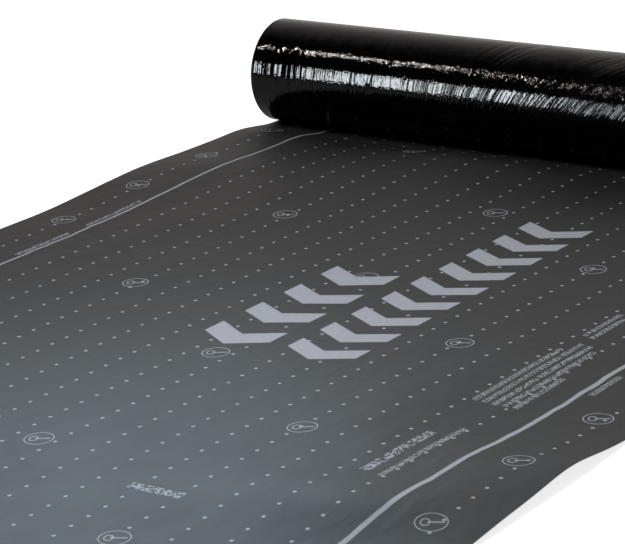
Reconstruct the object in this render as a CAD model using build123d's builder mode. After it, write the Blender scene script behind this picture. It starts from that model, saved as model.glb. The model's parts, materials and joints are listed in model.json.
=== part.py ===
from build123d import *

from collections import namedtuple
import math
import os

os.makedirs("parts", exist_ok=True)

# Roll of roofing felt: one continuous sheet, most of it wound up, its free end laid out on the floor.
# +X runs along the roll's axis, -Y towards the free end and +Z up.
# The origin is on the floor, in the middle of everything.

# Sheet
SHEET_WIDTH = 1219.0
SHEET_THICKNESS = 0.24
LAID_LENGTH = 1700.0

# Winding
ROLL_DIAMETER = 171.0
BORE_DIAMETER = 76.2

# Seam between the turns, as it shows on both ends
SEAM_PITCH = 4.0
SEAM_WIDTH = 0.6
SEAM_DEPTH = 1.6
SEAM_INSET = 2.2

# The sheet leaves the roll flat on the floor, and is at the full height of its waves at so many times
# that stretch
FLAT_STRETCH = 30.0
FULL_HEIGHT_AT = 5

# Grid that carries the waved surface, and how near the surface keeps to it
GRID_SPACING = 40.0
GRID_TOLERANCE = 0.1

# Waves of the laid length, each a smooth swelling. Its top lies this far across from the -X edge and
# this far out from where the roll touches the floor, and its crest is turned from the roll's axis.
Wave = namedtuple("Wave", "height across out turn reach_along reach_beside")
WAVES = (
    Wave(height=20, across=520, out=40, turn=45, reach_along=270, reach_beside=100),
    Wave(height=17, across=130, out=0, turn=75, reach_along=140, reach_beside=50),
    Wave(height=10, across=80, out=350, turn=50, reach_along=240, reach_beside=40),
    Wave(height=6, across=240, out=440, turn=-5, reach_along=90, reach_beside=150),
    Wave(height=5, across=940, out=1010, turn=75, reach_along=230, reach_beside=90),
    Wave(height=11, across=1350, out=1130, turn=15, reach_along=370, reach_beside=100),
    Wave(height=14, across=960, out=1350, turn=20, reach_along=180, reach_beside=50),
)

ROLL_RADIUS = ROLL_DIAMETER / 2
BORE_RADIUS = BORE_DIAMETER / 2

# The roll touches the floor along this line, and its axis is straight above
CONTACT_Y = (LAID_LENGTH - ROLL_RADIUS) / 2
FLAT_END_Y = CONTACT_Y - FLAT_STRETCH
AXIS_Z = ROLL_RADIUS

# The outermost turn comes down on the laid length where the roll's outline meets the sheet's upper face
NIP_ANGLE = math.degrees(math.acos((ROLL_RADIUS - SHEET_THICKNESS) / ROLL_RADIUS))

# Half turns that fit between the outermost turn and the bore
SEAM_HALF_TURNS = int(2 * (ROLL_RADIUS - BORE_RADIUS - 2 * SEAM_INSET - SEAM_WIDTH) / SEAM_PITCH)


def half_turns(first_radius):
    """Spiral inwards, as half circles that alternate between two centres on one upright line."""
    arcs = []
    for k in range(SEAM_HALF_TURNS):
        rising = k % 2 == 0
        centre_z = AXIS_Z - SEAM_PITCH / 4 if rising else AXIS_Z + SEAM_PITCH / 4
        radius = first_radius - SEAM_PITCH * (2 * k + 1) / 4
        arcs.append(CenterArc((CONTACT_Y, centre_z), radius, -90 if rising else 90, 180))
    return arcs


def lift(across, out):
    """Height of the sheet's lower face above the floor."""
    total = 0.0
    for wave in WAVES:
        turn = math.radians(wave.turn)
        right = across - wave.across
        back = wave.out - out
        along = (right * math.cos(turn) + back * math.sin(turn)) / wave.reach_along
        beside = (back * math.cos(turn) - right * math.sin(turn)) / wave.reach_beside
        total += wave.height * math.exp(-(along**2 + beside**2) / 2)
    rise = min((out / FLAT_STRETCH - 1) / (FULL_HEIGHT_AT - 1), 1)
    return total * rise**2 * (3 - 2 * rise)


def stations(start, end):
    """Evenly spaced places along a length, both its ends among them."""
    count = math.ceil((end - start) / GRID_SPACING)
    return [start + (end - start) * k / count for k in range(count + 1)]


def row_of_points(out):
    """Points of the sheet's lower face, right across it."""
    left = -SHEET_WIDTH / 2
    return [Vector(left + across, CONTACT_Y - out, lift(across, out)) for across in stations(0, SHEET_WIDTH)]


# The sheet's lower face, past the flat stretch
waved_face = Face.make_surface_from_array_of_points(
    [row_of_points(out) for out in stations(FLAT_STRETCH, LAID_LENGTH)],
    tol=GRID_TOLERANCE,
)

with BuildPart() as roofing_felt:
    # Section across the roll: a short flat stretch runs under it and up round its far side
    with BuildSketch(Plane.YZ.offset(-SHEET_WIDTH / 2)):
        with BuildLine():
            under = Line((FLAT_END_Y, 0), (CONTACT_Y, 0))
            outermost = CenterArc((CONTACT_Y, AXIS_Z), ROLL_RADIUS, -90, 360 - NIP_ANGLE)
            upper = Line(outermost @ 1, (FLAT_END_Y, SHEET_THICKNESS))
            Line(upper @ 1, under @ 0)
        make_face()
        with Locations((CONTACT_Y, AXIS_Z)):
            Circle(BORE_RADIUS, mode=Mode.SUBTRACT)
    extrude(amount=SHEET_WIDTH)

    # The rest of the laid length rises and falls, with the same thickness everywhere
    extrude(waved_face, amount=SHEET_THICKNESS, dir=(0, 0, 1))

    # The seam winds inwards from the nip, on each end
    for side in (-1, 1):
        with BuildSketch(Plane.YZ.offset(side * SHEET_WIDTH / 2)):
            with BuildLine():
                outer = half_turns(ROLL_RADIUS - SEAM_INSET)
                inner = half_turns(ROLL_RADIUS - SEAM_INSET - SEAM_WIDTH)
                Line(outer[0] @ 0, inner[0] @ 0)
                Line(outer[-1] @ 1, inner[-1] @ 1)
            make_face()
        extrude(amount=-side * SEAM_DEPTH, mode=Mode.SUBTRACT)

roofing_felt.part.label = "roofing_felt"
export_step(roofing_felt.part, "parts/roofing_felt.step")
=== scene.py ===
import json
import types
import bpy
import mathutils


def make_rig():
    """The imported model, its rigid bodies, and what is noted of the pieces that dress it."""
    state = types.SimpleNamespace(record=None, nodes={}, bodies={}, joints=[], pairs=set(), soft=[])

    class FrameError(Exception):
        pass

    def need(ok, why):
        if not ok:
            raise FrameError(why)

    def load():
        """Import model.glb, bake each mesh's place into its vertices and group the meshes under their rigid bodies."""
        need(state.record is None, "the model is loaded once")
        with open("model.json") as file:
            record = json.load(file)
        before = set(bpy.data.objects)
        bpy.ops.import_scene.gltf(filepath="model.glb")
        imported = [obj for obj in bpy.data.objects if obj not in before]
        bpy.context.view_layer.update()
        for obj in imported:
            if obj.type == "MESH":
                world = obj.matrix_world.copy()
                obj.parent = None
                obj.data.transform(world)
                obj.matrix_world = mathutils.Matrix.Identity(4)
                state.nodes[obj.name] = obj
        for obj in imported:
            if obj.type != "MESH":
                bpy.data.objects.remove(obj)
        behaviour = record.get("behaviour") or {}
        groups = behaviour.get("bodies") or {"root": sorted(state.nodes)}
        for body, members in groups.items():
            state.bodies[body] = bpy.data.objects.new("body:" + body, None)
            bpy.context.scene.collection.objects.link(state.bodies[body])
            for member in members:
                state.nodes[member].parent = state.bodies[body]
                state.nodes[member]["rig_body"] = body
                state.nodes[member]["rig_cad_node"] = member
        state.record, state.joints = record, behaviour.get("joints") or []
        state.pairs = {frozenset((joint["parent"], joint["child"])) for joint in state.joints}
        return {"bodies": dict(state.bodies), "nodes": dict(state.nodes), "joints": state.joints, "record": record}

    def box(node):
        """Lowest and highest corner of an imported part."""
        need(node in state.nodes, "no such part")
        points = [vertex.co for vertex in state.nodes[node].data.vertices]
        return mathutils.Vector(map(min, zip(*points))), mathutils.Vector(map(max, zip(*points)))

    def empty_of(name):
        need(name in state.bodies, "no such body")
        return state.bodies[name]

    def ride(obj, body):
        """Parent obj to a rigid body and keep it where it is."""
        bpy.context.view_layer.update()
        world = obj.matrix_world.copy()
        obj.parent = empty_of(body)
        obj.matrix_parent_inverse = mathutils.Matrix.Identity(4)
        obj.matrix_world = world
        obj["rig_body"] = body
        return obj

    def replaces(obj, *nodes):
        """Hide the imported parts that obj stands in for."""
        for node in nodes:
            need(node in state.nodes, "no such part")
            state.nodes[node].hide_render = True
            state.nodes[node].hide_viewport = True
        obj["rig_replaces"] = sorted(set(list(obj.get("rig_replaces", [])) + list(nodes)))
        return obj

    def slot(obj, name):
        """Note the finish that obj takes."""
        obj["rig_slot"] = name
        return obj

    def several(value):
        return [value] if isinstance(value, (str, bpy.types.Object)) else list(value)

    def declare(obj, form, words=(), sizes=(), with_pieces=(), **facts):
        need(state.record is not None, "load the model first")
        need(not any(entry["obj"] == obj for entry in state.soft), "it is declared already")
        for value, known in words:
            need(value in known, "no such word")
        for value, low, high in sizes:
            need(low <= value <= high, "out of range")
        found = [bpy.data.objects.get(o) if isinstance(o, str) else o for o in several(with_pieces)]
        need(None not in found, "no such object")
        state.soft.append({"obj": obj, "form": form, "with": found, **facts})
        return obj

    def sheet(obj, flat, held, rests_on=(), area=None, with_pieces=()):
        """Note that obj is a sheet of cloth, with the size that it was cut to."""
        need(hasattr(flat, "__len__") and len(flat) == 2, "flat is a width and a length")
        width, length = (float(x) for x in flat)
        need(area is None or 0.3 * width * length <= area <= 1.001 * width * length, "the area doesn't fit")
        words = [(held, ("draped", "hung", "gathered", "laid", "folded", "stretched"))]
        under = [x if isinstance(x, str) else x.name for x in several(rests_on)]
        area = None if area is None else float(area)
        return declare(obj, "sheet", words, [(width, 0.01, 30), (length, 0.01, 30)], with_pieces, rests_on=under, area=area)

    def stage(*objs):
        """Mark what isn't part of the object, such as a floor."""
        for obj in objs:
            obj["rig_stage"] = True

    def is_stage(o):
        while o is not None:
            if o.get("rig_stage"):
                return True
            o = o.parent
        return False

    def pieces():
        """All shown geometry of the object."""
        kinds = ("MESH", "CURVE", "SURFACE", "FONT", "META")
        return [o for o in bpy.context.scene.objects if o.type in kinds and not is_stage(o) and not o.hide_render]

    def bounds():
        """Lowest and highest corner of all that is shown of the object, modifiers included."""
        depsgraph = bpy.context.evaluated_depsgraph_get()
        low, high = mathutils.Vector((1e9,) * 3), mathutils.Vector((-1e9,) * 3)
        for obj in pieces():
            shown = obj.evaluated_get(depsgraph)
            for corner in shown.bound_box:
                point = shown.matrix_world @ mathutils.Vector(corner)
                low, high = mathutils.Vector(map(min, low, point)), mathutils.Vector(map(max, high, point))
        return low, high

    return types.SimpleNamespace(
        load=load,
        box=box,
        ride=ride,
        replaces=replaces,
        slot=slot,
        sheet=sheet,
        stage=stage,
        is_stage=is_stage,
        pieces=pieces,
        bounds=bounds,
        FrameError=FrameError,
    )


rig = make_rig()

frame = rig.load()

import functools
import json
import math
from collections import namedtuple

import bpy
from mathutils import Matrix, Vector, noise

# Everything is in metres, in the part's own frame
low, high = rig.box("roofing_felt")
bounds_of_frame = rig.bounds()
mounts = {mount["name"]: mount for mount in frame["record"]["mounts"]}
bore = mounts["spindle_bore"]

# The bore's middle is on the roll's axis, straight above the line where the roll touches the floor
_, CONTACT_Y, ROLL_RADIUS = bore["pos_m"]
BORE_RADIUS = bore["dims"]["r_mm"] / 1000
LEFT_EDGE_X = low[0]
RIGHT_EDGE_X = high[0]
SHEET_WIDTH = RIGHT_EDGE_X - LEFT_EDGE_X
LAID_LENGTH = CONTACT_Y - low[1]
SHEET_THICKNESS = 0.00024

# The sheet leaves the roll flat on the floor, and is at the full height of its waves at so many times
# that stretch
FLAT_STRETCH = 0.030
FULL_HEIGHT_AT = 5

# Waves of the laid length, each a smooth swelling. Its top lies this far across from the left edge and
# this far out from where the roll touches the floor, and its crest is turned from the roll's axis.
Wave = namedtuple("Wave", "height across out turn reach_along reach_beside")
WAVES = (
    Wave(height=0.020, across=0.520, out=0.040, turn=45, reach_along=0.270, reach_beside=0.100),
    Wave(height=0.020, across=0.047, out=0.000, turn=100, reach_along=0.134, reach_beside=0.072),
    Wave(height=0.011, across=0.044, out=0.356, turn=90, reach_along=0.119, reach_beside=0.094),
    Wave(height=0.0015, across=0.080, out=0.350, turn=50, reach_along=0.240, reach_beside=0.040),
    Wave(height=0.002, across=0.240, out=0.440, turn=-5, reach_along=0.090, reach_beside=0.150),
    Wave(height=0.005, across=0.940, out=1.010, turn=75, reach_along=0.230, reach_beside=0.090),
    Wave(height=0.011, across=1.350, out=1.130, turn=15, reach_along=0.370, reach_beside=0.100),
    Wave(height=0.012, across=1.050, out=1.317, turn=20, reach_along=0.100, reach_beside=0.050),
    Wave(height=0.006, across=1.219, out=1.140, turn=15, reach_along=0.100, reach_beside=0.045),
)

# Small undulations all over the laid length. The noise is raised by so much, and what is still below 0
# adds nothing.
UNDULATION_HEIGHT = 0.0012
UNDULATION_ACROSS = 0.110
UNDULATION_OUT = 0.1375
UNDULATION_RAISE = 0.6

# Cells of the meshes
SHEET_CELL = 0.009
WINDING_STEPS = 192
WINDING_CELL = 0.012
END_CELL = 0.0008
BORE_CELLS = 24
MERGE_DISTANCE = 0.00001
SMOOTH_ANGLE = 40

# Turns on the ends of the winding: a bundle of turns for each step of the spiral, and some steps are
# deeper than others
TURN_PITCH = 0.0034
TURN_DEPTH = 0.0007
TURN_UNEVENNESS = 0.4
TURN_RHYTHM = 3.7
TURNS_IN_BUNDLE = 6
RIM_ROUNDING = 0.0004

# Print on the laid length, measured across from the left edge and out from the roll
PRINT_BLUR = 0.0008
EDGE_LINE_INSET = 0.1189
LEFT_LINE_WIDTH = 0.0040
RIGHT_LINE_WIDTH = 0.0068
LINE_WAVER = 0.0050

# Dots, in columns that run out from the roll. DOT_EDGE is where a dot's ink is full and where it ends.
DOT_COLUMN = 0.5857
DOT_ROW = 1.2124
DOT_COLUMN_PITCH = 0.05816
DOT_ROW_PITCH = 0.02822
DOT_ROW_SHIFT = 0.9439
DOT_EDGE = (0.00192, 0.00288)
DOT_LINE_GAP = (0.0150, 0.0155)
DOT_EDGE_GAP = 0.015

# Rows of small print. The breaks are the levels of noise between which a mark begins.
PrintRow = namedtuple("PrintRow", "across width start end")
PRINT_ROWS = (
    PrintRow(across=0.1090, width=0.0075, start=0.518, end=0.646),
    PrintRow(across=0.1090, width=0.0075, start=0.684, end=0.800),
    PrintRow(across=0.8425, width=0.0750, start=1.380, end=1.394),
    PrintRow(across=1.0035, width=0.0080, start=0.790, end=0.994),
    PrintRow(across=1.0170, width=0.0080, start=0.763, end=0.994),
    PrintRow(across=1.0310, width=0.0080, start=0.766, end=0.995),
    PrintRow(across=1.0445, width=0.0080, start=0.781, end=0.994),
    PrintRow(across=1.0580, width=0.0080, start=0.880, end=0.992),
    PrintRow(across=1.0045, width=0.0080, start=0.640, end=0.735),
    PrintRow(across=1.0175, width=0.0080, start=0.655, end=0.741),
    PrintRow(across=1.1130, width=0.0090, start=0.840, end=0.910),
    PrintRow(across=1.0450, width=0.0080, start=1.079, end=1.252),
    PrintRow(across=1.0190, width=0.0130, start=1.107, end=1.245),
)
COARSE_ROW_WIDTH = 0.010
MARK_BREAKS = (0.46, 0.54)

# Rings round a nail. A pair gives half a stroke's width, where its ink is full and where it ends.
RingColumn = namedtuple("RingColumn", "across first pitch")
RING_COLUMNS = (
    RingColumn(across=0.058, first=0.112, pitch=0.175),
    RingColumn(across=0.347, first=0.122, pitch=0.349),
    RingColumn(across=0.620, first=0.323, pitch=0.335),
    RingColumn(across=0.879, first=0.491, pitch=0.337),
    RingColumn(across=1.158, first=0.098, pitch=0.175),
)
RING_RADIUS = 0.0175
RING_STROKE = (0.000525, 0.001125)
NAIL_SLOPE = 0.53
CAP_MIDDLE = -0.0065
CAP_RADIUS = 0.0050
CAP_SQUASH = 0.7746
CAP_STROKE = (0.0005, 0.0012)
SHANK_MIDDLE = 0.005
SHANK_REACH = (0.0085, 0.0100)
SHANK_STROKE = (0.0008, 0.0020)

CHEVRON_SLANT = 0.55
ChevronRow = namedtuple("ChevronRow", "middle height start end pitch stroke")
CHEVRON_ROWS = (
    ChevronRow(middle=0.608, height=0.104, start=0.640, end=0.985, pitch=0.0862, stroke=0.040),
    ChevronRow(middle=0.741, height=0.104, start=0.350, end=0.980, pitch=0.0700, stroke=0.034),
)

# Colours, and how much of the ink the thin print and worn print carry
INK = (0.385, 0.405, 0.455, 1.0)
RING_INK = 0.80
SMALL_INK = 0.85
WORN_INK = 0.80
WEAR_RANGE = 0.30
FELT_DARK = (0.018, 0.018, 0.018, 1.0)
FELT_LIGHT = (0.030, 0.030, 0.030, 1.0)
FIBRE_LIGHT = (0.048, 0.048, 0.048, 1.0)
BACK_BLACK = (0.0012, 0.0012, 0.0014, 1.0)
# A brownish colour for the roll's top, which is a painted sheen
PAINTED_SHEEN_COLOUR = (0.016, 0.0145, 0.0135, 1.0)
EDGE_DARK = (0.010, 0.010, 0.011, 1.0)
EDGE_LIGHT = (0.075, 0.075, 0.080, 1.0)
FLOOR_GREY = (0.8, 0.8, 0.8, 1.0)
WARM_WHITE = (1.0, 0.95, 0.93, 1.0)
WHITE = (1.0, 1.0, 1.0, 1.0)
BLACK = (0.0, 0.0, 0.0, 1.0)

# Roughness, to which each finish adds a little from its relief
FELT_ROUGHNESS = 0.45
BACK_ROUGHNESS = 0.03

# Relief of the felt
FIBRE_HEIGHT = 0.00024
MOTTLE_HEIGHT = 0.0002
WRINKLE_HEIGHT = 0.0022

# Relief of the glossy back
RIDGE_HEIGHT = 0.00022
CREASE_DEPTH = 0.0005
FINE_CREASE_DEPTH = 0.00030
TOP_CREASE_DEPTH = 0.0005
SQUEEZE_HEIGHT = 0.0030
GRAIN_HEIGHT = 0.00024
GRAIN_LOSS_RIGHT = 0.00012
SPARKLE_HEIGHT = 0.00055
SAG_HEIGHT = 0.0007

# Zones of the glossy back. Each comes in between two heights, as multiples of the roll's radius.
FRONT_ZONE = (0.85, 1.10)
TOP_ZONE = (1.50, 1.75)
SPARKLE_ZONE = (1.40, 1.48)
SPARKLE_END = (1.62, 1.70)
# Where the painted sheen lies, on the roll's top
PAINTED_SHEEN_ZONE = (1.70, 1.90)

# These come in between two places across, as shares of the sheet's width, or in metres
LEAN_ZONE = (0.20, 0.60)
MOST_LEAN = 0.8
TOP_CREASE_ZONE = (0.28, 0.42)
SQUEEZE_END_M = (0.08, 0.14)
FINE_CREASE_ZONE_M = (0.28, 0.36)
GRAIN_LOSS_ZONE_M = (0.42, 0.60)

# Floor and surroundings. The world's light on the object grows from front to back.
FLOOR_SIZE = 60
FLOOR_DROP = 0.0004
WORLD_FRONT = -0.10
WORLD_BACK = 0.85
LEVEL_FRONT = 0.02
LEVEL_BACK = 0.58

# Camera, fitted to the photograph
SENSOR_WIDTH = 36.0
FOCAL_LENGTH = 144.99
CAMERA_ACROSS = 2.4994
CAMERA_OUT = 3.3173
CAMERA_HEIGHT = 1.0643
CAMERA_YAW = 36.523
CAMERA_PITCH = 17.904
CAMERA_ROLL = -3.114
VIEW_DEPTH = 200


def smooth(share):
    """0 below 0, 1 above 1, and an S-curve between."""
    share = min(max(share, 0.0), 1.0)
    return share * share * (3 - 2 * share)


def spot(across, out, height):
    """The place this far across from the left edge, out from the roll's line on the floor, and up."""
    return (LEFT_EDGE_X + across, CONTACT_Y - out, height)


def lift(across, out):
    """Height of the sheet's lower face above the floor."""
    total = 0.0
    for wave in WAVES:
        turn = math.radians(wave.turn)
        right = across - wave.across
        back = wave.out - out
        along = (right * math.cos(turn) + back * math.sin(turn)) / wave.reach_along
        beside = (back * math.cos(turn) - right * math.sin(turn)) / wave.reach_beside
        total += wave.height * math.exp(-(along**2 + beside**2) / 2)
    place = Vector((across / UNDULATION_ACROSS, out / UNDULATION_OUT, 0))
    total += UNDULATION_HEIGHT * max(noise.noise(place) + UNDULATION_RAISE, 0)
    return total * smooth((out / FLAT_STRETCH - 1) / (FULL_HEIGHT_AT - 1))


class Value:
    """An output of a shader node. An expression on values adds its own Math nodes."""

    def __init__(self, nodes, socket):
        self.nodes = nodes
        self.socket = socket

    def maths(self, operation, *others):
        inputs = dict(enumerate((self, *others)))
        return self.nodes.node("ShaderNodeMath", {"operation": operation}, inputs)

    def __add__(self, other):
        return self.maths("ADD", other)

    def __radd__(self, other):
        return self.maths("ADD", other)

    def __sub__(self, other):
        return self.maths("SUBTRACT", other)

    def __rsub__(self, other):
        return self * -1 + other

    def __mul__(self, other):
        return self.maths("MULTIPLY", other)

    def __rmul__(self, other):
        return self.maths("MULTIPLY", other)

    def __truediv__(self, other):
        return self.maths("DIVIDE", other)

    def __pow__(self, other):
        return self.maths("POWER", other)

    def __abs__(self):
        return self.maths("ABSOLUTE")

    def __round__(self):
        return self.maths("ROUND")

    def at_least(self, other):
        return self.maths("MAXIMUM", other)

    def at_most(self, other):
        return self.maths("MINIMUM", other)

    def ramp(self, start, end, low=0.0, high=1.0):
        """low at start, high at end, and an S-curve between."""
        return self.nodes.node(
            "ShaderNodeMapRange",
            {"interpolation_type": "SMOOTHSTEP"},
            {"Value": self, "From Min": start, "From Max": end, "To Min": low, "To Max": high},
        )


class Nodes:
    """The shader nodes of a material or of the world."""

    def __init__(self, tree):
        self.tree = tree

    def node(self, kind, settings, inputs, output=0):
        """One output of a new node, after its settings are set and its sockets get values or links."""
        node = self.tree.nodes.new(kind)
        for name, value in settings.items():
            setattr(node, name, value)
        for name, value in inputs.items():
            self.feed(node.inputs[name], value)
        return Value(self, node.outputs[output])

    def feed(self, socket, value):
        if isinstance(value, Value):
            self.tree.links.new(value.socket, socket)
        else:
            socket.default_value = value

    def split(self, vector):
        """X, Y and Z of a vector, as three values."""
        first = self.node("ShaderNodeSeparateXYZ", {}, {0: vector})
        return [Value(self, output) for output in first.socket.node.outputs]

    def blend(self, share, colour_a, colour_b):
        """colour_a where share is 0, colour_b where it is 1."""
        colours = {0: share, 6: colour_a, 7: colour_b}
        return self.node("ShaderNodeMix", {"data_type": "RGBA"}, colours, 2)


class Finish(Nodes):
    """A material under a Principled shader, with the nodes that vary it."""

    def __init__(self, name, **constants):
        self.material = bpy.data.materials.new(name)
        self.material.use_nodes = True
        super().__init__(self.material.node_tree)
        self.shader = self.tree.nodes["Principled BSDF"]
        for socket, value in constants.items():
            self.drive(socket.replace("_", " "), value)

    def drive(self, socket, value):
        self.feed(self.shader.inputs[socket], value)

    def place(self, scale=(1, 1, 1)):
        """The piece's own coordinates, stretched by scale."""
        coordinates = self.node("ShaderNodeTexCoord", {}, {}, "Object")
        return self.node("ShaderNodeMapping", {}, {"Vector": coordinates, "Scale": scale})

    def noise(self, scale, detail=2.0, roughness=0.5, place=None):
        """Soft random relief from 0 to 1. The scale is its cells to the metre, one number, or three
        for X, Y and Z."""
        if not isinstance(scale, tuple):
            scale = (scale, scale, scale)
        if place is None:
            vector = self.place(scale)
        else:
            vector = self.node("ShaderNodeMapping", {}, {"Vector": place, "Scale": scale})
        look = {"Vector": vector, "Scale": 1.0, "Detail": detail, "Roughness": roughness}
        return self.node("ShaderNodeTexNoise", {}, look)

    def bump(self, height, distance=1.0, strength=1.0):
        inputs = {"Height": height, "Distance": distance, "Strength": strength}
        return self.node("ShaderNodeBump", {}, inputs)


def distance(one, other):
    """How far two values at right angles reach together."""
    return (one * one + other * other) ** 0.5


def together(marks):
    """Several marks as one, each place as strong as the strongest of them."""
    return functools.reduce(Value.at_least, marks)


def stroke(value, middle, full, end):
    """1 up to full on each side of middle, 0 past end."""
    return 1 - abs(value - middle).ramp(full, end)


def line(value, middle, width):
    """A printed line of this width."""
    return stroke(value, middle, width / 2 - PRINT_BLUR, width / 2 + PRINT_BLUR)


def inside(value, start, end):
    """1 where value lies between start and end."""
    begun = value.ramp(start - PRINT_BLUR, start + PRINT_BLUR)
    return begun * (1 - value.ramp(end - PRINT_BLUR, end + PRINT_BLUR))


def ring_marks(across, out):
    """Thin rings in columns along the sheet, each round a plain nail with its cap."""
    marks = []
    for column in RING_COLUMNS:
        step = round((out - column.first) / column.pitch)
        beyond = out - column.first - step * column.pitch
        beside = across - column.across
        marks.append(stroke(distance(beyond, beside), RING_RADIUS, *RING_STROKE))

        along = (beside - beyond * NAIL_SLOPE) / math.hypot(1, NAIL_SLOPE)
        athwart = (beyond + beside * NAIL_SLOPE) / math.hypot(1, NAIL_SLOPE)
        from_cap = distance(along - CAP_MIDDLE, athwart * CAP_SQUASH)
        marks.append(stroke(from_cap, CAP_RADIUS, *CAP_STROKE))
        shank = stroke(along, SHANK_MIDDLE, *SHANK_REACH)
        marks.append(shank * stroke(athwart, 0.0, *SHANK_STROKE))
    return together(marks)


def chevrons(across, out):
    """Bold chevrons in two rows, pointing the way that the sheet unrolls."""
    rows = []
    for row in CHEVRON_ROWS:
        beside = abs(across - row.middle)
        last = round((row.end - row.start) / row.pitch) - 1
        slanted = (out - row.start - row.pitch / 2 + beside * CHEVRON_SLANT) / row.pitch
        nearest = round(slanted).at_least(0.0).at_most(float(last))
        edge = row.stroke / row.pitch / 2
        blur = PRINT_BLUR / row.pitch
        arms = 1 - beside.ramp(row.height / 2 - PRINT_BLUR, row.height / 2 + PRINT_BLUR)
        rows.append(stroke(slanted, nearest, edge - blur, edge + blur) * arms)
    return together(rows)


def small_print(across, out, finish):
    """Rows of small broken marks, no letters among them."""
    fine = finish.noise(400, detail=1.0).ramp(*MARK_BREAKS)
    coarse = finish.noise(240, detail=1.0).ramp(*MARK_BREAKS)
    rows = []
    for row in PRINT_ROWS:
        wide = inside(across, row.across - row.width / 2, row.across + row.width / 2)
        reach = wide * inside(out, row.start, row.end)
        rows.append(reach * (coarse if row.width > COARSE_ROW_WIDTH else fine))
    return together(rows)


def dot_marks(across, out):
    """Dots in columns along the sheet, each column a little further on than the one before. They
    keep clear of the two lines and of the sheet's edges."""
    column = round((across - DOT_COLUMN) / DOT_COLUMN_PITCH)
    beside = across - DOT_COLUMN - column * DOT_COLUMN_PITCH
    rows = (out - DOT_ROW) / DOT_ROW_PITCH + column * DOT_ROW_SHIFT
    beyond = (rows - round(rows)) * DOT_ROW_PITCH
    dots = 1 - distance(beside, beyond).ramp(*DOT_EDGE)
    from_left_line = abs(across - EDGE_LINE_INSET)
    from_right_line = abs(across - (SHEET_WIDTH - EDGE_LINE_INSET))
    clear = from_left_line.at_most(from_right_line).ramp(*DOT_LINE_GAP)
    return dots * clear * inside(across, DOT_EDGE_GAP, SHEET_WIDTH - DOT_EDGE_GAP)


def printed_felt():
    """Charcoal felt with a pale print of lines, dots, rings and chevrons."""
    finish = Finish("printed_felt", IOR=1.5)
    x, y, _ = finish.split(finish.place())
    across = x - LEFT_EDGE_X
    out = CONTACT_Y - y

    wavering = across + (finish.noise(22, detail=1.0) - 0.5) * LINE_WAVER
    left_line = line(wavering, EDGE_LINE_INSET, LEFT_LINE_WIDTH)
    right_line = line(wavering, SHEET_WIDTH - EDGE_LINE_INSET, RIGHT_LINE_WIDTH)
    bold = together([chevrons(across, out), left_line, right_line, dot_marks(across, out)])
    thin = ring_marks(across, out) * RING_INK
    small = small_print(across, out, finish) * SMALL_INK
    wear = finish.noise(260, detail=3.0)
    ink = together([bold, thin, small]) * (WORN_INK + wear * WEAR_RANGE).at_most(1.0)

    mottle = finish.noise((9, 6, 9), detail=4.0, roughness=0.65).ramp(0.30, 0.70)
    fibres = finish.noise((900, 160, 900))
    streaks = finish.noise((260, 14, 260))
    wrinkles = finish.noise((26, 14, 26))
    ground = finish.blend(mottle * 0.6 + streaks * 0.4, FELT_DARK, FELT_LIGHT)
    ground = finish.blend(fibres * 0.30, ground, FIBRE_LIGHT)
    finish.drive("Base Color", finish.blend(ink, ground, INK))
    finish.drive("Roughness", FELT_ROUGHNESS + mottle * 0.05 + streaks * 0.05 + fibres * 0.10)
    relief = fibres * FIBRE_HEIGHT + mottle * MOTTLE_HEIGHT + wrinkles * WRINKLE_HEIGHT
    finish.drive("Normal", finish.bump(relief))
    return finish.material


def furrows(folds, reach):
    """Narrow furrows where the folds pass their middle: -1 at the bottom and 0 beside them."""
    return abs(folds - 0.5).ramp(0.0, reach) - 1


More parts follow.
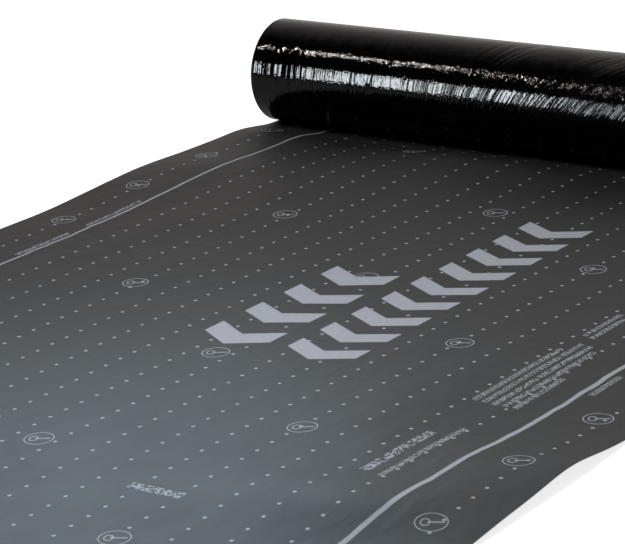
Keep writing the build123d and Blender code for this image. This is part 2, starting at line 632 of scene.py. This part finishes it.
def glossy_back():
    """Black coated back of the sheet, drawn tight round the roll. Fine ridges and creases run round it,
    and lean towards its right end. Its top carries a mottled, slightly lighter brownish colour, which is a painted
    sheen."""
    finish = Finish("glossy_back", IOR=1.3)
    x, y, z = finish.split(finish.place())
    across = x - LEFT_EDGE_X

    def above(zone):
        return z.ramp(zone[0] * ROLL_RADIUS, zone[1] * ROLL_RADIUS)

    def rightward(zone):
        return across.ramp(zone[0] * SHEET_WIDTH, zone[1] * SHEET_WIDTH)

    lean = rightward(LEAN_ZONE) * MOST_LEAN
    climb = z + y - CONTACT_Y
    leaning = finish.node("ShaderNodeCombineXYZ", {}, {0: x - lean * climb, 1: y, 2: z})

    def round_roll(along, around, detail=1.0):
        """Relief that is fine along the roll and drawn out round it."""
        return finish.noise((along, around, around), detail, place=leaning)

    top = above(TOP_ZONE)
    front = (1 - top) * above(FRONT_ZONE)

    ridges = round_roll(300, 10)
    creases = furrows(round_roll(50, 3), 0.030) * front
    fine_creases = furrows(round_roll(140, 5), 0.070) * front * across.ramp(*FINE_CREASE_ZONE_M)
    groups = round_roll(16, 6, detail=0.0).ramp(0.48, 0.60)
    top_creases = furrows(round_roll(90, 4), 0.050) * groups * top * rightward(TOP_CREASE_ZONE)
    left = 1 - across.ramp(*SQUEEZE_END_M)
    squeezed = (round_roll(120, 5, detail=0.0) - 0.5) * left * front
    grains = finish.noise((280, 220, 220), detail=1.0)
    grain_height = GRAIN_HEIGHT - across.ramp(*GRAIN_LOSS_ZONE_M) * GRAIN_LOSS_RIGHT
    sparkle_zone = above(SPARKLE_ZONE) * (1 - above(SPARKLE_END))
    sparkle = (finish.noise((170, 150, 150), detail=1.0) - 0.5) * sparkle_zone
    sag = finish.noise((16, 9, 9))

    relief = ridges * RIDGE_HEIGHT + creases * CREASE_DEPTH + fine_creases * FINE_CREASE_DEPTH
    relief = relief + top_creases * TOP_CREASE_DEPTH + squeezed * SQUEEZE_HEIGHT
    relief = relief + grains * grain_height + sparkle * SPARKLE_HEIGHT + sag * SAG_HEIGHT
    # Mottled lighter colour on the roll's top: a painted sheen, not dust on the film
    painted_sheen = finish.noise(45, detail=4.0, roughness=0.65).ramp(0.35, 0.75) * above(PAINTED_SHEEN_ZONE)
    finish.drive("Base Color", finish.blend(painted_sheen, BACK_BLACK, PAINTED_SHEEN_COLOUR))
    finish.drive("Roughness", BACK_ROUGHNESS + grains * 0.05)
    finish.drive("Normal", finish.bump(relief))
    return finish.material


def wound_edges():
    """Cut edges of the turns, on the ends of the winding."""
    finish = Finish("wound_edges", Roughness=0.6)
    _, y, z = finish.split(finish.place())
    radius = distance(y - CONTACT_Y, z - ROLL_RADIUS)
    turns = radius / (TURN_PITCH / TURNS_IN_BUNDLE)
    edge = abs(turns - round(turns)) * 2
    dust = finish.noise(60, detail=3.0)
    finish.drive("Base Color", finish.blend(edge * 0.6 + dust * 0.4, EDGE_DARK, EDGE_LIGHT))
    finish.drive("Normal", finish.bump(edge, distance=0.0003, strength=0.7))
    return finish.material


def new_grid(name, columns, rows, materials):
    """A grid one metre square, for its corners to be moved into place."""
    bpy.ops.object.select_all(action="DESELECT")
    bpy.ops.mesh.primitive_grid_add(x_subdivisions=columns, y_subdivisions=rows, size=1)
    piece = bpy.context.object
    piece.name = name
    piece.data.name = name
    for material in materials:
        piece.data.materials.append(material)
    return piece


def finished(piece):
    """Smooth shading, and the piece's ties to the frame."""
    bpy.ops.object.shade_smooth_by_angle(angle=math.radians(SMOOTH_ANGLE))
    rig.ride(piece, "root")
    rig.replaces(piece, "roofing_felt")
    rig.slot(piece, "felt")


def make_laid_length(face_and_back):
    """The free length on the floor, printed side up."""
    columns = round(SHEET_WIDTH / SHEET_CELL)
    rows = round(LAID_LENGTH / SHEET_CELL)
    piece = new_grid("laid_length", columns, rows, face_and_back)
    for vertex in piece.data.vertices:
        across = (vertex.co.x + 0.5) * SHEET_WIDTH
        out = (0.5 - vertex.co.y) * LAID_LENGTH
        vertex.co = spot(across, out, lift(across, out) + SHEET_THICKNESS)
    wall = piece.modifiers.new("thickness", "SOLIDIFY")
    wall.thickness = SHEET_THICKNESS
    wall.offset = -1
    wall.material_offset = 1
    wall.material_offset_rim = 1
    bpy.ops.object.modifier_apply(modifier="thickness")
    finished(piece)
    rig.sheet(piece, flat=(SHEET_WIDTH, LAID_LENGTH), held="laid", rests_on=["floor"])
    return piece


def winding_profile():
    """Right round the section of the winding: over the outside, down one end, through the bore and up
    the other end. Each station has its place along the axis, its radius, and which way is inward."""
    outside = round(SHEET_WIDTH / WINDING_CELL)
    down = round((ROLL_RADIUS - BORE_RADIUS) / END_CELL)
    rim = RIM_ROUNDING / SHEET_WIDTH
    end_height = ROLL_RADIUS - BORE_RADIUS - 2 * RIM_ROUNDING
    radii = [ROLL_RADIUS - RIM_ROUNDING - end_height * k / down for k in range(down + 1)]
    over_shares = [rim] + [k / outside for k in range(1, outside)] + [1 - rim]
    bore_shares = [min(max(k / BORE_CELLS, rim), 1 - rim) for k in range(BORE_CELLS + 1)]

    over = [(LEFT_EDGE_X + share * SHEET_WIDTH, ROLL_RADIUS, 0) for share in over_shares]
    right_end = [(RIGHT_EDGE_X, radius, -1) for radius in radii]
    through = [(RIGHT_EDGE_X - SHEET_WIDTH * share, BORE_RADIUS, 0) for share in bore_shares]
    left_end = [(LEFT_EDGE_X, radius, 1) for radius in reversed(radii)]
    return over + right_end + through + left_end


def turn_depth(radius, turn):
    """How far the cut edges lie inward, this far round an end. It fades out at the rim and the bore."""
    spiral = radius / TURN_PITCH + turn
    step = 0.5 - 0.5 * math.cos(2 * math.pi * spiral)
    from_edge = min(radius - BORE_RADIUS, ROLL_RADIUS - radius) / TURN_PITCH
    rhythm = math.sin(TURN_RHYTHM * math.floor(spiral))
    return TURN_DEPTH * step * smooth(from_edge) * (1 - TURN_UNEVENNESS + TURN_UNEVENNESS * rhythm)


def make_wound_roll(back_and_edges):
    """The winding, with the spiral of its turns on both ends."""
    profile = winding_profile()
    count = len(profile)
    piece = new_grid("wound_roll", count, WINDING_STEPS, back_and_edges)
    for vertex in piece.data.vertices:
        station = round((vertex.co.x + 0.5) * count) % count
        turn = vertex.co.y + 0.5
        along, radius, inward = profile[station]
        along += inward * turn_depth(radius, turn)
        angle = 2 * math.pi * turn - math.pi / 2
        height = ROLL_RADIUS + radius * math.sin(angle)
        vertex.co = (along, CONTACT_Y + radius * math.cos(angle), height)
    # The two ends face along the roll's axis
    for face in piece.data.polygons:
        if abs(face.normal.x) > 0.5:
            face.material_index = 1
    bpy.ops.object.mode_set(mode="EDIT")
    bpy.ops.mesh.select_all(action="SELECT")
    bpy.ops.mesh.remove_doubles(threshold=MERGE_DISTANCE)
    bpy.ops.mesh.normals_make_consistent(inside=False)
    bpy.ops.object.mode_set(mode="OBJECT")
    finished(piece)
    return piece


def make_floor():
    """A plain white floor that keeps the shadow."""
    bpy.ops.object.select_all(action="DESELECT")
    bpy.ops.mesh.primitive_plane_add(size=FLOOR_SIZE, location=(0, 0, -FLOOR_DROP))
    floor = bpy.context.object
    floor.name = "floor"
    finish = Finish("white_floor", Base_Color=FLOOR_GREY, Roughness=0.9, Emission_Strength=0.80)
    rays = ("Is Camera Ray", "Is Transmission Ray")
    seen = together([finish.node("ShaderNodeLightPath", {}, {}, ray) for ray in rays])
    finish.drive("Emission Color", finish.blend(seen, BLACK, WHITE))
    floor.data.materials.append(finish.material)
    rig.stage(floor)


def make_world():
    """White to the camera. To the object it is dark in front, and grows light towards the back."""
    world = bpy.data.worlds.new("studio")
    bpy.context.scene.world = world
    world.use_nodes = True
    nodes = Nodes(world.node_tree)
    seen = nodes.node("ShaderNodeLightPath", {}, {}, "Is Camera Ray")
    _, y, _ = nodes.split(nodes.node("ShaderNodeTexCoord", {}, {}, "Generated"))
    light = y.ramp(WORLD_FRONT, WORLD_BACK, LEVEL_FRONT, LEVEL_BACK)
    strength = nodes.node("ShaderNodeMapRange", {}, {"Value": seen, "To Min": light, "To Max": 1.0})
    background = nodes.tree.nodes["Background"]
    nodes.feed(background.inputs["Strength"], strength)
    nodes.feed(background.inputs["Color"], nodes.blend(seen, WARM_WHITE, WHITE))


def make_sun(name, towards, strength, spread):
    """Soft light from far off, which shows as no reflection."""
    data = bpy.data.lights.new(name, "SUN")
    data.energy = strength
    data.angle = math.radians(spread)
    sun = bpy.data.objects.new(name, data)
    bpy.context.scene.collection.objects.link(sun)
    sun.visible_glossy = False
    sun.rotation_euler = Vector(towards).to_track_quat("Z", "Y").to_euler()


def make_lamp(name, place, target, size, power, colour, mirrored_in=None):
    """A flat lamp. A mirrored one shows as a reflection in one piece and lights nothing else."""
    data = bpy.data.lights.new(name, "AREA")
    data.shape = "RECTANGLE"
    data.size, data.size_y = size
    data.energy = power
    data.color = colour
    lamp = bpy.data.objects.new(name, data)
    bpy.context.scene.collection.objects.link(lamp)
    lamp.location = place
    lamp.rotation_euler = (Vector(target) - lamp.location).to_track_quat("-Z", "Y").to_euler()
    lamp.visible_camera = False
    lamp.visible_glossy = mirrored_in is not None
    lamp.visible_diffuse = mirrored_in is None
    if mirrored_in is not None:
        receivers = bpy.data.collections.new(name + "_shows_in")
        receivers.objects.link(mirrored_in)
        lamp.light_linking.receiver_collection = receivers


def make_camera():
    data = bpy.data.cameras.new("camera")
    data.sensor_width = SENSOR_WIDTH
    data.sensor_fit = "HORIZONTAL"
    data.lens = FOCAL_LENGTH
    data.clip_end = VIEW_DEPTH
    camera = bpy.data.objects.new("camera", data)
    bpy.context.scene.collection.objects.link(camera)
    place = Matrix.Translation(spot(CAMERA_ACROSS, CAMERA_OUT, CAMERA_HEIGHT))
    turn = Matrix.Rotation(math.radians(CAMERA_YAW), 4, "Z")
    tip = Matrix.Rotation(math.radians(90 - CAMERA_PITCH), 4, "X")
    lean = Matrix.Rotation(math.radians(CAMERA_ROLL), 4, "Z")
    camera.matrix_world = place @ turn @ tip @ lean
    bpy.context.scene.camera = camera


felt = printed_felt()
back = glossy_back()
edges = wound_edges()
laid = make_laid_length([felt, back])
roll = make_wound_roll([back, edges])
make_floor()
make_world()

make_lamp(
    "softbox",
    place=spot(-1.905, 3.4, 0.93),
    target=spot(-1.905, 0, 0.93),
    size=(0.91, 1.45),
    power=163,
    colour=(0.88, 0.96, 1.0),
    mirrored_in=roll,
)
make_lamp(
    "strip",
    place=spot(-1.79, 1.51, 2.70),
    target=spot(-1.337, 0, ROLL_RADIUS),
    size=(0.90, 0.036),
    power=31,
    colour=(1.0, 0.92, 0.88),
    mirrored_in=roll,
)
make_lamp(
    "window",
    place=spot(0.30, 0.95, 0.60),
    target=spot(0.90, 1.65, 0),
    size=(0.8, 0.6),
    power=5.8,
    colour=(0.62, 0.84, 1.0),
    mirrored_in=laid,
)
make_lamp(
    "top",
    place=spot(0.55, 1.0, 1.60),
    target=spot(0.60, 0.95, 0),
    size=(1.0, 1.0),
    power=16,
    colour=(1.0, 1.0, 1.0),
)
make_sun("key", towards=(-0.60, 0.65, 0.40), strength=1.2, spread=20)
make_camera()

bpy.context.scene.view_settings.view_transform = "Standard"

with open("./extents.json", "w") as size_file:
    boxes = {"cad": bounds_of_frame, "visual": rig.bounds()}
    json.dump({name: [list(map(float, corner)) for corner in box] for name, box in boxes.items()}, size_file)
